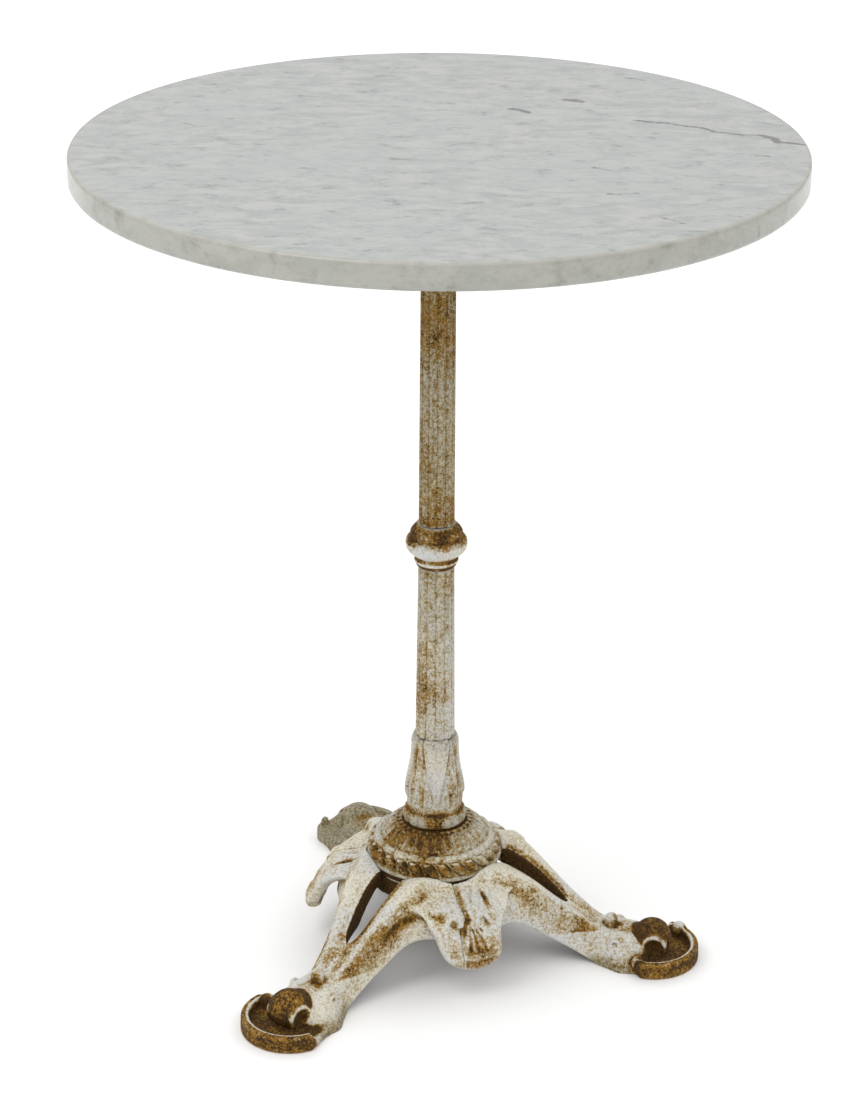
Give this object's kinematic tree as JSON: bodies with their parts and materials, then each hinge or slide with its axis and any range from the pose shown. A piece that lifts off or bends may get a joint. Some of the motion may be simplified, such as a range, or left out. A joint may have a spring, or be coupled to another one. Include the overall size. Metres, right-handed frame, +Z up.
{
  "type": "bistro table",
  "caption": "Round marble table top on a fluted cast iron pedestal with a domed hub and three slotted legs.",
  "frame": {"origin": "on the floor, under the axis of the column", "axes": "+Z up along the column; the first leg points 8.6 degrees to the right of +X as seen from above"},
  "size_m": [0.6, 0.6, 0.737],
  "materials": {
    "marble": "polished light grey marble with fine grey veins",
    "painted_iron": "old off-white paint, chipped and rusted through",
    "bare_iron": "unpainted casting with an even dark rust",
    "steel": "dull steel with light rust",
    "brass": "aged brass"
  },
  "bodies": {
    "root": {"marble_top": "marble", "top_spider": "bare_iron", "marble_anchor_1": "brass", "marble_anchor_2": "brass", "marble_anchor_3": "brass", "marble_anchor_4": "brass", "spider_screw_1": "steel", "spider_screw_2": "steel", "spider_screw_3": "steel", "spider_screw_4": "steel", "tie_rod": "steel", "rod_top_washer": "steel", "rod_top_nut": "steel", "rod_foot_washer": "steel", "rod_foot_nut": "steel", "rod_lock_nut": "steel", "upper_column": "painted_iron", "column_knop": "painted_iron", "lower_column": "painted_iron", "vase": "painted_iron", "hub_dome": "painted_iron", "clamp_plate": "bare_iron", "leg_1": "painted_iron", "leg_2": "painted_iron", "leg_3": "painted_iron", "leg_bolt_1": "steel", "leg_bolt_2": "steel", "leg_bolt_3": "steel"}
  },
  "joints": []
}
